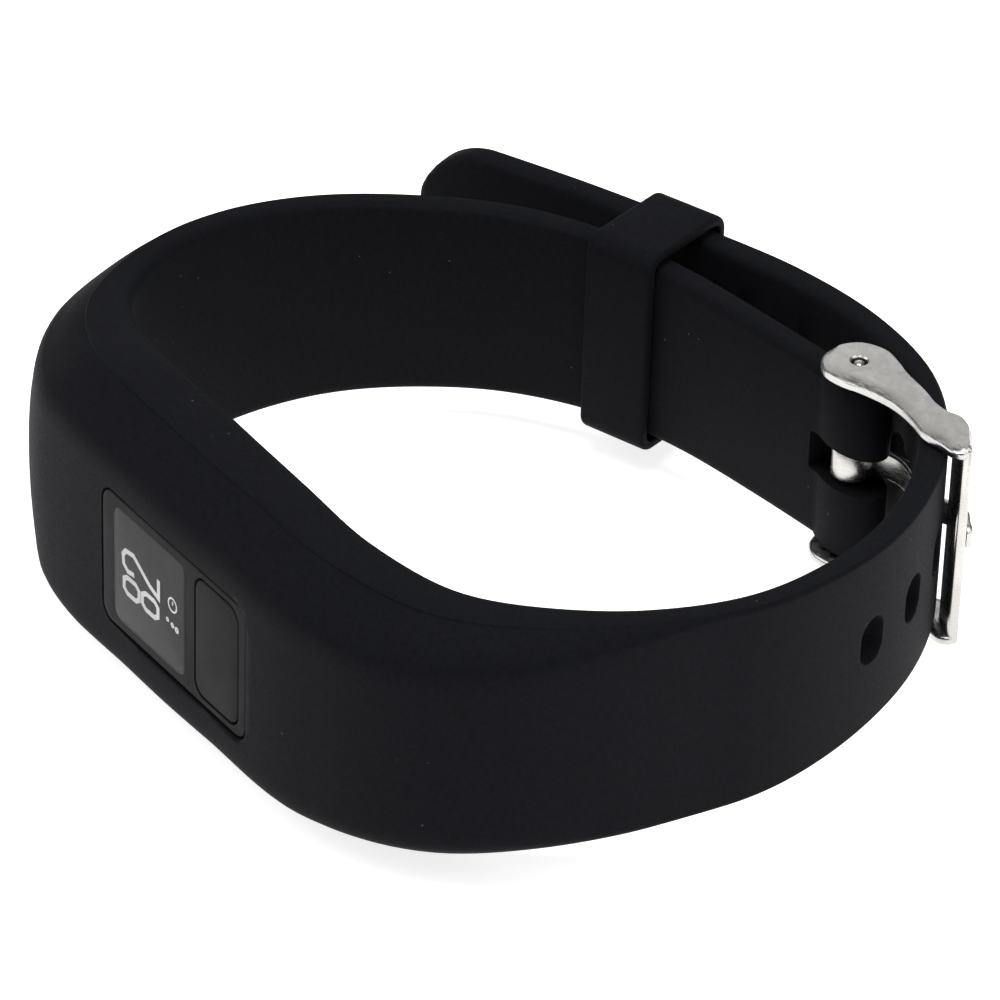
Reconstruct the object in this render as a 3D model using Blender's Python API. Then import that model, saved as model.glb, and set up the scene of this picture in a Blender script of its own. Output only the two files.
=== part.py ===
"""Fitness tracker band: a small tracker module in a one-piece silicone band with a pin buckle.

The band is buckled into a ring and lies on its side edge. Lengths in this file are in millimetres
and are turned into metres as the meshes are made. The plan is drawn from above: X runs along the
module's face, Y from the face into the ring, and Z is the width of the band. The drawing's zero is
the middle of the module's window, on its face and at mid width; `placement` then moves the whole
part so that the origin is at the bottom middle of its bounding box.
"""

import math

import bmesh
import bpy
import numpy as np
from mathutils import Matrix, Vector

MM = 0.001

# Silicone band
STRAP_THICKNESS = 2.25
STRAP_HALF_WIDTH = 7.65
EDGE_CHAMFER = 0.3
POCKET_THICKNESS = 8.6
POCKET_RIM = 4.3
POCKET_BEVEL = 3.0
POCKET_CROWN = 1.15
CROWN_AT = -26.0
CROWN_REACH = 7.0
STATION_PITCH = 2.7
TAIL_RADIUS = 6.6
TAIL_END_HALF_WIDTH = 1.2

# Inner surface of the band, from the buckle's loop round the wrist, past the module, to the tail
INNER_ROUTE = (
    (10.4, 54.5), (0.2, 53.5), (-9.4, 52.0), (-17.5, 49.5), (-23.8, 45.2),
    (-28.4, 39.2), (-31.3, 32.5), (-32.3, 25.0), (-31.0, 18.0), (-26.6, 12.6),
    (-19.4, 9.55), (-6.5, 8.55), (4.0, 8.5), (15.0, 8.8), (22.2, 11.3), (28.7, 18.9),
    (31.2, 28.0), (29.9, 37.5), (25.5, 47.3), (17.95, 55.5), (11.05, 59.25),
    (3.5, 60.5), (-5.5, 59.6), (-13.0, 57.35), (-22.5, 53.95), (-38.7, 46.9),
)
# Half width of the band against the distance along it from the middle of the module
WIDTH_KEYS = (
    (-101, 7.65), (-80, 7.8), (-67, 8.3), (-53, 8.8), (-43, 9.4), (-31, 10.1), (-22, 10.65),
    (-14, 11.1), (0, 11.1), (14, 11.1), (28, 9.65), (38, 8.85), (45, 8.45), (51, 8.15), (57, 7.85),
    (66, 7.75), (80, 7.7), (140, 7.9),
)
# How far the middle of the soft strap lies above the middle of the pocket, against the same distance
LIFT_KEYS = (
    (-101, 0.0), (-90, 0.0), (-78, 0.15), (-60, 0.27), (-48, 0.45), (-39, 0.2), (-31, -0.5),
    (-22, -0.25), (-16, 0.0), (-11, 0.0), (8, 0.0), (13, 0.0), (20, 0.25), (28, 0.95), (36, 1.1),
    (48, 0.8), (58, 0.5), (66, 0.22), (76, 0.2), (92, 0.15), (140, 0.2),
)
# How far the lower side of the pocket's outer face is filled out, against the same distance
LOWER_KEYS = (
    (-101, 0.0), (-60, 0.0), (-34, 0.0), (-24, 0.8), (-16, 1.4), (-12, 1.2), (-6, 0.95), (0, 0.83),
    (6, 0.7), (12, 0.57), (18, 0.33), (25, 0.1), (32, 0.0), (60, 0.0), (140, 0.0),
)
# How far the pocket's inner face stands in from the route, against the same distance
INNER_KEYS = (
    (-101, 0.0), (-60, 0.0), (-32, 0.0), (-24, 0.2), (-17, 0.55), (-8, 0.65), (-1, 0.55), (5, 0.35),
    (12, 0.2), (18, 0.0), (40, 0.0), (140, 0.0),
)
# The pocket swells from the strap between these distances, on the buckle side and on the tail side
SWELL_BUCKLE_SIDE = (38.0, 18.0)
SWELL_TAIL_SIDE = (42.0, 17.0)

FIRST_HOLE = 55.6
HOLE_PITCH = 6.5
HOLE_COUNT = 8
HOLE_LENGTH = 3.0
HOLE_HEIGHT = 3.8
HOLE_CORNER = 1.3
PINNED_HOLE = 3

# Spring bar and the loop round it
BAR_AXIS = (9.35, 56.1)
LOOP_SEMI_AXES = (3.6, 2.2)
NOTCH_HEIGHT = 3.4
NOTCH_ENDS = (-3.0, 3.9)
NOTCH_FACES = (-2.57, 2.23)
TUBE_RADIUS = 0.85
TUBE_BORE = 0.62
TUBE_HALF = 6.3
TIP_RADIUS = 0.45
TIP_REACH = (4.9, 8.85)
COLLAR_RADIUS = 0.72
COLLAR_REACH = (7.4, 7.62)
SPRING_RADIUS = 0.4
SPRING_WIRE_RADIUS = 0.07
SPRING_HALF = 4.7
SPRING_TURNS = 9

# Buckle
FRAME_SHEET = 0.9
FRAME_INNER_HALF = 8.05
EAR_RADIUS = 2.8
EAR_HOLE = 0.65
FRONT_BAR_MIDDLE = (22.35, 56.2)
FRONT_BAR_ANGLE = math.radians(153.0)
FRONT_BAR_WIDTH = 3.5
TONGUE_WIDTH = 2.6
TONGUE_THICKNESS = 0.7
TONGUE_BORE = 0.97
TONGUE_WRAP = 1.65
TONGUE_TAPER = 0.25
TONGUE_REST_GAP = 0.12
TONGUE_TIP = 0.6
TONGUE_PASSAGE_GAP = 0.6

# Keeper
KEEPER_MIDDLE = (-15.4, 54.5)
KEEPER_ANGLE = math.radians(18.5)
KEEPER_LENGTH = 6.3
KEEPER_OPENING = (8.8, 16.7)
KEEPER_WALL = 0.8
KEEPER_LIFT = 0.2

# Module
MODULE_HALF = (15.6, 8.0)
MODULE_CORNER = 2.2
MODULE_WALL = 0.9
SHELL_FRONT = 0.9
SHELL_BACK = 7.95
BOSS_HALF = (10.0, 5.72)
BOSS_CORNER = 1.2
POCKET_LIP = 0.6
POCKET_GAP = 0.3
LENS_SIDE = 10.0
LENS_X = -3.36
BUTTON_SIZE = (5.9, 10.3)
BUTTON_X = 6.1
CELL_RADIUS = 5.8
CELL_HEIGHT = 4.2
CELL_X = (-8.2, 4.0)
SCREW_PLACES = [(x, z) for x in (-13.85, 13.85) for z in (-6.2, 6.2)]
POST_RADIUS = 1.35
POST_RELIEF = 1.6
POST_BORE = 0.5
SCREW_RADIUS = 0.4
SCREW_HEAD_RADIUS = 0.85
OPENING_GAP = 0.15

# Depths of the module's parts behind its face, front and back of each
BOSS_DEPTHS = (0.0, 1.4)
TRAY_FLOOR = 1.7
LENS_DEPTHS = (0.05, 0.75)
LENS_GASKET_DEPTHS = (0.85, 1.6)
LCD_DEPTHS = (1.8, 2.7)
BUTTON_DEPTHS = (0.0, 2.0)
BUTTON_FLANGE_DEPTHS = (1.8, 2.05)
BUTTON_PAD_DEPTHS = (2.1, 2.25)
DOME_DEPTHS = (2.53, 2.8)
FRONT_PARTS_BACK = 2.78
BOARD_DEPTHS = (2.85, 3.4)
CHIPS_FRONT = 3.48
TERMINAL_DEPTHS = (3.45, 3.6)
CELL_FRONT = 3.65
CARRIER_DEPTHS = (4.5, 7.3)
COVER_GASKET_DEPTHS = (8.0, 8.18)
COVER_DEPTHS = (8.23, 8.65)
SCREW_DEPTHS = (5.0, 8.4)
SCREW_HEAD_DEPTHS = (8.3, 8.6)

# How far a cutter runs past what it cuts
THROUGH = 12.0


def clear_scene():
    for obj in list(bpy.data.objects):
        bpy.data.objects.remove(obj, do_unlink=True)


def new_collection(name):
    collection = bpy.data.collections.new(name)
    bpy.context.scene.collection.children.link(collection)
    return collection


def new_material(name, colour, roughness, metallic=0.0):
    material = bpy.data.materials.new(name)
    material.use_nodes = True
    shader = material.node_tree.nodes["Principled BSDF"]
    shader.inputs["Base Color"].default_value = (*colour, 1.0)
    shader.inputs["Roughness"].default_value = roughness
    shader.inputs["Metallic"].default_value = metallic
    return material


clear_scene()
PARTS = new_collection("fitness_tracker_band")
CUTTERS = new_collection("cutters")

SILICONE = new_material("black_silicone", (0.012, 0.013, 0.016), 0.62)
STEEL = new_material("satin_steel", (0.58, 0.56, 0.53), 0.28, 1.0)
MODULE_PLASTIC = new_material("module_plastic", (0.05, 0.05, 0.053), 0.42)
LENS = new_material("display_lens", (0.09, 0.09, 0.09), 0.2)
LCD_GLASS = new_material("lcd_glass", (0.2, 0.22, 0.2), 0.15)
BOARD = new_material("board_green", (0.02, 0.12, 0.05), 0.5)
CHIP = new_material("chip_black", (0.02, 0.02, 0.02), 0.5)
CELL = new_material("cell_steel", (0.7, 0.7, 0.7), 0.3, 1.0)
BRASS = new_material("contact_brass", (0.75, 0.6, 0.3), 0.35, 1.0)

placement = bpy.data.objects.new("placement", None)
PARTS.objects.link(placement)
bar_axis = bpy.data.objects.new("bar_axis", None)
bar_axis.parent = placement
bar_axis.location = (BAR_AXIS[0] * MM, BAR_AXIS[1] * MM, 0.0)
PARTS.objects.link(bar_axis)


def object_from(mesh_data, name, material=None, parent=placement):
    """A new object in metres from a bmesh in millimetres. Without a material it is a cutter."""
    bmesh.ops.scale(mesh_data, vec=(MM, MM, MM), verts=mesh_data.verts)
    bmesh.ops.recalc_face_normals(mesh_data, faces=mesh_data.faces)
    mesh = bpy.data.meshes.new(name)
    mesh_data.to_mesh(mesh)
    mesh_data.free()
    mesh.shade_smooth()
    mesh.set_sharp_from_angle(angle=math.radians(20))
    obj = bpy.data.objects.new(name, mesh)
    obj.parent = parent
    if material:
        mesh.materials.append(material)
        PARTS.objects.link(obj)
    else:
        obj.hide_render = True
        obj.display_type = "WIRE"
        CUTTERS.objects.link(obj)
    return obj


def combine(target, other, operation="DIFFERENCE"):
    modifier = target.modifiers.new(other.name, "BOOLEAN")
    modifier.operation = operation
    modifier.object = other
    return target


def block(size, middle, corner=0.0, along="Y", turn=0.0):
    """A box with the four edges that run along one axis rounded, turned about Z and then placed."""
    shape = bmesh.new()
    bmesh.ops.create_cube(shape, size=1.0)
    bmesh.ops.scale(shape, vec=size, verts=shape.verts)
    if corner:
        axis = "XYZ".index(along)
        edges = [
            edge
            for edge in shape.edges
            if abs((edge.verts[0].co - edge.verts[1].co).normalized()[axis]) > 0.9
        ]
        bmesh.ops.bevel(shape, geom=edges, offset=corner, segments=3, affect="EDGES", profile=0.5)
    bmesh.ops.rotate(shape, matrix=Matrix.Rotation(turn, 3, "Z"), verts=shape.verts)
    bmesh.ops.translate(shape, vec=middle, verts=shape.verts)
    return shape


def plate(half, front, back, corner=0.0, middle=(0.0, 0.0)):
    """A rounded rectangle in X and Z, from one Y to another."""
    size = (2 * half[0], back - front, 2 * half[1])
    return block(size, (middle[0], (front + back) / 2, middle[1]), corner)


def round_bar(radius, start, end, segments=24, axis="Z", middle=(0.0, 0.0)):
    """A cylinder along Z or Y, from one end height to the other."""
    shape = bmesh.new()
    bmesh.ops.create_cone(
        shape, cap_ends=True, segments=segments, radius1=radius, radius2=radius, depth=end - start
    )
    if axis == "Y":
        bmesh.ops.rotate(shape, matrix=Matrix.Rotation(math.radians(90), 3, "X"), verts=shape.verts)
        bmesh.ops.translate(shape, vec=(middle[0], (start + end) / 2, middle[1]), verts=shape.verts)
    else:
        bmesh.ops.translate(shape, vec=(*middle, (start + end) / 2), verts=shape.verts)
    return shape


def hull_of(*shapes):
    """The tight skin round several shapes."""
    skin = bmesh.new()
    for shape in shapes:
        for vertex in shape.verts:
            skin.verts.new(vertex.co)
        shape.free()
    result = bmesh.ops.convex_hull(skin, input=skin.verts)
    spare = set(result["geom_interior"]) | set(result["geom_unused"])
    bmesh.ops.delete(skin, geom=[item for item in spare if isinstance(item, bmesh.types.BMVert)])
    bmesh.ops.dissolve_limit(skin, angle_limit=0.001, verts=skin.verts, edges=skin.edges)
    return skin


# ---------------------------------------------------------------- the band's route and section


def smooth(x, knots_x, knots_y):
    """A smooth curve through the knots, with the slope of the neighbouring knots at each one."""
    slopes = np.gradient(knots_y, knots_x)
    i = np.clip(np.searchsorted(knots_x, x) - 1, 0, len(knots_x) - 2)
    step = knots_x[i + 1] - knots_x[i]
    t = (x - knots_x[i]) / step
    rise = (2 * t**3 - 3 * t**2 + 1) * knots_y[i] + (3 * t**2 - 2 * t**3) * knots_y[i + 1]
    return rise + (t**3 - 2 * t**2 + t) * step * slopes[i] + (t**3 - t**2) * step * slopes[i + 1]


class Route:
    """The inner surface of the band in plan, measured along from the middle of the module."""

    def __init__(self, corners):
        corners = np.array(corners, float)
        chords = np.concatenate([[0], np.cumsum(np.linalg.norm(np.diff(corners, axis=0), axis=1))])
        fine = np.linspace(0, chords[-1], 4000)
        self.points = np.stack([smooth(fine, chords, corners[:, k]) for k in (0, 1)], axis=1)
        steps = np.linalg.norm(np.diff(self.points, axis=0), axis=1)
        self.along = np.concatenate([[0], np.cumsum(steps)])
        by_module = np.abs(self.points[:, 0]) + 1000 * (self.points[:, 1] > 30)
        self.along -= self.along[np.argmin(by_module)]
        self.start, self.end = self.along[0], self.along[-1]

    def at(self, distance):
        """(point, unit direction, unit outward normal) at a distance along the band."""
        ahead, behind = distance + 0.2, distance - 0.2
        point, forward, back = (
            Vector([np.interp(d, self.along, self.points[:, k]) for k in (0, 1)])
            for d in (distance, ahead, behind)
        )
        direction = (forward - back).normalized()
        return point, direction, Vector((direction.y, -direction.x))


def swell(distance):
    """0 on the plain strap, 1 at the module, with a smooth ramp between."""
    outer, inner = SWELL_BUCKLE_SIDE if distance < 0 else SWELL_TAIL_SIDE
    t = min(max((outer - abs(distance)) / (outer - inner), 0.0), 1.0)
    return t * t * (3 - 2 * t)


def read_keys(keys, distance):
    """The smooth curve through (distance, value) keys, kept under its highest key."""
    keys = np.array(keys, float)
    return min(float(smooth(np.array(distance), keys[:, 0], keys[:, 1])), keys[:, 1].max())


def bell(distance, middle, reach):
    """1 at the middle, fading to nothing over about twice the reach."""
    return math.exp(-(((distance - middle) / reach) ** 2))


def half_width(distance, tail_end):
    width = read_keys(WIDTH_KEYS, distance)
    into_tip = max(distance - (tail_end - TAIL_RADIUS), 0.0) / TAIL_RADIUS
    rounding = math.sqrt(max(1 - into_tip**2, 0.0))
    return TAIL_END_HALF_WIDTH + (width - TAIL_END_HALF_WIDTH) * rounding


def section(distance, tail_end):
    """The band's cross-section as (outward, up) pairs, all the way round."""
    grown = swell(distance)
    half = half_width(distance, tail_end)
    thickness = STRAP_THICKNESS + (POCKET_THICKNESS - STRAP_THICKNESS) * grown
    crease = STRAP_THICKNESS - EDGE_CHAMFER + (POCKET_RIM - STRAP_THICKNESS + EDGE_CHAMFER) * grown
    bevel = EDGE_CHAMFER + (POCKET_BEVEL - EDGE_CHAMFER) * grown
    face = half - bevel
    crown = POCKET_CROWN * bell(distance, CROWN_AT, CROWN_REACH)
    depth = thickness - crease
    inner = -read_keys(INNER_KEYS, distance)

    def side(fuller):
        """From beside the middle of the outer face round to the edge of the inner face."""
        return [
            (thickness + crown * 0.85, face * 0.55),
            (thickness + crown * 0.3, face + fuller),
            (thickness - depth * 0.27, face + bevel * 0.38 + fuller * 0.7),
            (thickness - depth * 0.62, face + bevel * 0.72 + fuller * 0.3),
            (crease, half),
            (inner + EDGE_CHAMFER, half),
            (inner, half - EDGE_CHAMFER),
        ]

    lower = side(read_keys(LOWER_KEYS, distance))
    middle = [(thickness + crown, 0.0)]
    return middle + side(0.0) + [(outward, -up) for outward, up in reversed(lower)]


def loft_band(route):
    stations = list(np.arange(route.start, route.end - TAIL_RADIUS, STATION_PITCH))
    stations += [route.end - TAIL_RADIUS * math.cos(math.radians(a)) for a in (0, 18, 36, 54, 72, 90)]
    shape = bmesh.new()
    rings = []
    for distance in stations:
        point, _, normal = route.at(distance)
        lift = read_keys(LIFT_KEYS, distance)
        ring = []
        for outward, up in section(distance, route.end):
            ring.append(shape.verts.new((*(point + normal * outward), up + lift)))
        rings.append(ring)
    for ring, following in zip(rings, rings[1:]):
        for k in range(len(ring)):
            after = (k + 1) % len(ring)
            shape.faces.new((ring[k], ring[after], following[after], following[k]))
    shape.faces.new(rings[0])
    shape.faces.new(reversed(rings[-1]))
    return shape


ROUTE = Route(INNER_ROUTE)


def hole_frame(index):
    """(middle of the strap in plan, direction along it, height) at a pin hole."""
    distance = FIRST_HOLE + HOLE_PITCH * index
    point, direction, normal = ROUTE.at(distance)
    return point + normal * STRAP_THICKNESS / 2, direction, read_keys(LIFT_KEYS, distance)


# ---------------------------------------------------------------- band and keeper


def tongue_route():
    """The pin's centre line from the wrap, out through the strap's hole and over the front bar."""
    axis = Vector(BAR_AXIS)
    middle, _, _ = hole_frame(PINNED_HOLE)
    bar = Vector(FRONT_BAR_MIDDLE)
    bar_along = Vector((math.cos(FRONT_BAR_ANGLE), math.sin(FRONT_BAR_ANGLE)))
    bar_out = Vector((-bar_along.y, bar_along.x)) * -1
    over = FRAME_SHEET / 2 + TONGUE_THICKNESS / 2 + TONGUE_REST_GAP
    return [
        point - axis
        for point in (
            axis + Vector((0.4, 1.31)),
            axis + Vector((3.2, 2.1)),
            middle + Vector((0.15, 0.05)),
            bar + bar_along * 2.0 + bar_out * (over + TONGUE_REST_GAP),
            bar + bar_along * 0.6 + bar_out * over,
            bar - bar_along * TONGUE_TIP + bar_out * over,
        )
    ]


def tongue_strip(clearance=0.0):
    """The pin as a tapering strip along its route, or the room that it needs round it."""
    corners = np.array([tuple(p) for p in tongue_route()])
    knots = np.concatenate([[0], np.cumsum(np.linalg.norm(np.diff(corners, axis=0), axis=1))])
    fine = np.linspace(0, knots[-1], 22)
    line = np.stack([smooth(fine, knots, corners[:, k]) for k in (0, 1)], axis=1)
    slope = np.gradient(line, axis=0)
    strip = bmesh.new()
    rings = []
    for point, way, part in zip(line, slope, fine / knots[-1]):
        side = Vector((way[1], -way[0])).normalized() * (TONGUE_THICKNESS / 2 + clearance)
        half = (TONGUE_WIDTH * (1 - TONGUE_TAPER * part) - 0.1) / 2 + clearance / 2
        corners_here = ((side, half), (side, -half), (-side, -half), (-side, half))
        rings.append([strip.verts.new((point[0] + s.x, point[1] + s.y, up)) for s, up in corners_here])
    for ring, following in zip(rings, rings[1:]):
        for k in range(4):
            strip.faces.new((ring[k], ring[k - 3], following[k - 3], following[k]))
    strip.faces.new(rings[0])
    strip.faces.new(reversed(rings[-1]))
    return strip


def make_band():
    band = object_from(loft_band(ROUTE), "band", SILICONE)
    long_axis, short_axis = LOOP_SEMI_AXES
    loop = round_bar(short_axis, -STRAP_HALF_WIDTH, STRAP_HALF_WIDTH, 32)
    bmesh.ops.scale(loop, vec=(long_axis / short_axis, 1, 1), verts=loop.verts)
    bmesh.ops.translate(loop, vec=(*BAR_AXIS, 0), verts=loop.verts)
    combine(band, object_from(loop, "loop_boss"), "UNION")

    bore = round_bar(TUBE_RADIUS + 0.1, -THROUGH, THROUGH, 24, middle=BAR_AXIS)
    combine(band, object_from(bore, "bar_bore"))
    notch_size = (NOTCH_ENDS[1] - NOTCH_ENDS[0], NOTCH_FACES[1] - NOTCH_FACES[0], NOTCH_HEIGHT)
    notch_middle = (BAR_AXIS[0] + sum(NOTCH_ENDS) / 2, BAR_AXIS[1] + sum(NOTCH_FACES) / 2, 0)
    notch = block(notch_size, notch_middle, 0.3, "Y")
    combine(band, object_from(notch, "tongue_notch"))

    cavity_half = [side + POCKET_GAP for side in MODULE_HALF]
    cavity = plate(cavity_half, POCKET_LIP, THROUGH, MODULE_CORNER + POCKET_GAP)
    combine(band, object_from(cavity, "module_cavity"))
    window_half = [side + POCKET_GAP for side in BOSS_HALF]
    combine(band, object_from(plate(window_half, -3.0, 3.0, BOSS_CORNER + POCKET_GAP), "window_cut"))

    for index in range(HOLE_COUNT):
        middle, direction, height = hole_frame(index)
        turn = math.atan2(direction.y, direction.x)
        size = (HOLE_LENGTH, THROUGH / 2, HOLE_HEIGHT)
        hole = block(size, (*middle, height), HOLE_CORNER, "Y", turn)
        combine(band, object_from(hole, f"pin_hole_{index + 1}"))
    # The rubber gives way round the tongue, which leans in the pinned hole
    passage = tongue_strip(TONGUE_PASSAGE_GAP)
    combine(band, object_from(passage, "tongue_passage", parent=bar_axis))


def make_keeper():
    depth, height = KEEPER_OPENING
    outside = (KEEPER_LENGTH, depth + 2 * KEEPER_WALL, height + 2 * KEEPER_WALL)
    middle = (*KEEPER_MIDDLE, KEEPER_LIFT)
    loop = block(outside, middle, 1.6, "X", KEEPER_ANGLE)
    opening = block((THROUGH, depth, height), middle, 0.8, "X", KEEPER_ANGLE)
    keeper = object_from(loop, "keeper_loop", SILICONE)
    combine(keeper, object_from(opening, "keeper_opening"))


# ---------------------------------------------------------------- buckle and spring bar


def make_buckle_frame():
    """Two arms with round ears on the spring bar, and a flat front bar over the strap."""
    outer_half = FRAME_INNER_HALF + FRAME_SHEET
    bar_x = FRONT_BAR_MIDDLE[0] - BAR_AXIS[0]
    bar_y = FRONT_BAR_MIDDLE[1] - BAR_AXIS[1]
    overlap = 0.04
    bar_size = (FRONT_BAR_WIDTH, FRAME_SHEET, 2 * outer_half - overlap)
    bar = block(bar_size, (bar_x, bar_y, 0), 0.3, "Z", FRONT_BAR_ANGLE)
    frame = object_from(bar, "buckle_frame", STEEL, bar_axis)
    for side, name in ((1, "arm_upper"), (-1, "arm_lower")):
        middle = side * (FRAME_INNER_HALF + FRAME_SHEET / 2)
        ear = round_bar(EAR_RADIUS, middle - FRAME_SHEET / 2, middle + FRAME_SHEET / 2, 32)
        end_size = (FRONT_BAR_WIDTH + overlap, FRAME_SHEET + overlap, FRAME_SHEET)
        end = block(end_size, (bar_x, bar_y, middle), 0.3, "Z", FRONT_BAR_ANGLE)
        combine(frame, object_from(hull_of(ear, end), name, parent=bar_axis), "UNION")
    holes = round_bar(EAR_HOLE, -THROUGH, THROUGH, 20)
    combine(frame, object_from(holes, "ear_holes", parent=bar_axis))


def make_tongue():
    """A strip wrapped round the spring bar whose free end lies on the front bar."""
    wrap = round_bar(TONGUE_WRAP, -TONGUE_WIDTH / 2, TONGUE_WIDTH / 2, 28)
    tongue = object_from(wrap, "buckle_tongue", STEEL, bar_axis)
    combine(tongue, object_from(tongue_strip(), "tongue_strip", parent=bar_axis), "UNION")
    combine(tongue, object_from(round_bar(TONGUE_BORE, -3, 3, 24), "tongue_bore", parent=bar_axis))


def make_spring_bar():
    barrel = round_bar(TUBE_RADIUS, -TUBE_HALF, TUBE_HALF, 20)
    tube = object_from(barrel, "spring_bar_tube", STEEL, bar_axis)
    bore = round_bar(TUBE_BORE, -THROUGH, THROUGH, 16)
    combine(tube, object_from(bore, "tube_bore", parent=bar_axis))
    for name, side in (("upper", 1), ("lower", -1)):
        ends = sorted(side * reach for reach in TIP_REACH)
        tip = object_from(round_bar(TIP_RADIUS, *ends, 16), f"spring_bar_tip_{name}", STEEL, bar_axis)
        collar = round_bar(COLLAR_RADIUS, *sorted(side * reach for reach in COLLAR_REACH), 16)
        combine(tip, object_from(collar, f"collar_{name}", parent=bar_axis), "UNION")
    make_spring()


def make_spring():
    """The coil inside the tube, as a bent wire."""
    coil = bpy.data.curves.new("spring_bar_spring", "CURVE")
    coil.dimensions = "3D"
    coil.bevel_depth = SPRING_WIRE_RADIUS * MM
    coil.bevel_resolution = 0
    coil.use_fill_caps = True
    spline = coil.splines.new("POLY")
    per_turn = 8
    steps = SPRING_TURNS * per_turn
    spline.points.add(steps)
    for k in range(steps + 1):
        angle = 2 * math.pi * k / per_turn
        x, y = SPRING_RADIUS * math.cos(angle), SPRING_RADIUS * math.sin(angle)
        height = SPRING_HALF * (2 * k / steps - 1)
        spline.points[k].co = (x * MM, y * MM, height * MM, 1)
    coil.materials.append(STEEL)
    spring = bpy.data.objects.new("spring_bar_spring", coil)
    spring.parent = bar_axis
    PARTS.objects.link(spring)


# ---------------------------------------------------------------- tracker module


def make_shell():
    """The front case: a tray with a raised boss for the display and button, and four screw bosses."""
    case = plate(MODULE_HALF, SHELL_FRONT, SHELL_BACK, MODULE_CORNER)
    shell = object_from(case, "module_shell", MODULE_PLASTIC)
    combine(shell, object_from(plate(BOSS_HALF, *BOSS_DEPTHS, BOSS_CORNER), "face_boss"), "UNION")
    inside = [side - MODULE_WALL for side in MODULE_HALF]
    hollow = object_from(plate(inside, TRAY_FLOOR, THROUGH, 1.4), "shell_hollow")
    for k, place in enumerate(SCREW_PLACES):
        post = round_bar(POST_RADIUS, -2, THROUGH + 2, 20, "Y", place)
        combine(hollow, object_from(post, f"screw_boss_{k + 1}"))
    combine(shell, hollow)
    for k, place in enumerate(SCREW_PLACES):
        bore = round_bar(POST_BORE, 4.0, THROUGH, 12, "Y", place)
        combine(shell, object_from(bore, f"screw_bore_{k + 1}"))
    lens_half = [LENS_SIDE / 2 + OPENING_GAP] * 2
    combine(shell, object_from(plate(lens_half, -2, 3, 1.25, (LENS_X, 0)), "lens_opening"))
    button_half = [side / 2 + OPENING_GAP for side in BUTTON_SIZE]
    combine(shell, object_from(plate(button_half, -2, 3, 1.15, (BUTTON_X, 0)), "button_opening"))


def ring_plate(name, material, outer, inner, depths, corner, middle=(0.0, 0.0)):
    """A flat ring with rounded corners."""
    front, back = depths
    ring = object_from(plate(outer, front, back, corner, middle), name, material)
    cut = plate(inner, front - 2, back + 2, corner * 0.8, middle)
    return combine(ring, object_from(cut, f"{name}_cut"))


def make_display():
    side, middle = LENS_SIDE / 2, (LENS_X, 0)
    within = side - 0.6
    object_from(plate((side, side), *LENS_DEPTHS, 1.1, middle), "display_lens", LENS)
    ring_plate("lens_gasket", CHIP, (side, side), (within, within), LENS_GASKET_DEPTHS, 1.1, middle)
    object_from(plate((5.1, 4.8), *LCD_DEPTHS, 0.0, middle), "lcd_panel", LCD_GLASS)
    ring_plate("lcd_frame", MODULE_PLASTIC, (5.7, 5.4), (5.3, 5.0), LCD_DEPTHS, 0.5, middle)
    object_from(plate((4.6, 0.5), *LCD_DEPTHS, 0.0, (LENS_X, -6.2)), "lcd_connector", CHIP)


def make_button():
    half, middle = [side / 2 for side in BUTTON_SIZE], (BUTTON_X, 0)
    cap = object_from(plate(half, *BUTTON_DEPTHS, 1.0, middle), "button_cap", MODULE_PLASTIC)
    flange = plate((half[0] + 0.4, half[1] + 0.5), *BUTTON_FLANGE_DEPTHS, 1.2, middle)
    combine(cap, object_from(flange, "button_flange"), "UNION")
    object_from(plate(half, *BUTTON_PAD_DEPTHS, 1.0, middle), "button_pad", SILICONE)
    object_from(round_bar(2.0, *DOME_DEPTHS, 20, "Y", middle), "dome_switch", BRASS)


def clear_of_bosses(piece):
    """Notches a piece round the shell's screw bosses."""
    for k, place in enumerate(SCREW_PLACES):
        relief = round_bar(POST_RELIEF, 1, 9, 20, "Y", place)
        combine(piece, object_from(relief, f"{piece.name}_relief_{k + 1}"))
    return piece


def make_board():
    clear_of_bosses(object_from(plate((14.3, 6.75), *BOARD_DEPTHS, 0.5), "pcb", BOARD))
    # Parts on the board: half sides, depths, middle across the module
    for name, half, depths, middle, material in (
        ("main_chip", (2.0, 2.0), (CHIPS_FRONT, 4.4), (12.2, 2.4), CHIP),
        ("radio_chip", (1.5, 1.5), (CHIPS_FRONT, 4.3), (12.2, -1.6), CHIP),
        ("accelerometer", (1.0, 1.0), (CHIPS_FRONT, 4.4), (11.4, -4.4), CHIP),
        ("crystal", (1.6, 0.75), (1.95, FRONT_PARTS_BACK), (-12.0, -3.2), CELL),
        ("antenna", (0.5, 2.6), (1.8, FRONT_PARTS_BACK), (-13.2, 1.4), CHIP),
    ):
        object_from(plate(half, *depths, 0.0, middle), name, material)


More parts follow.
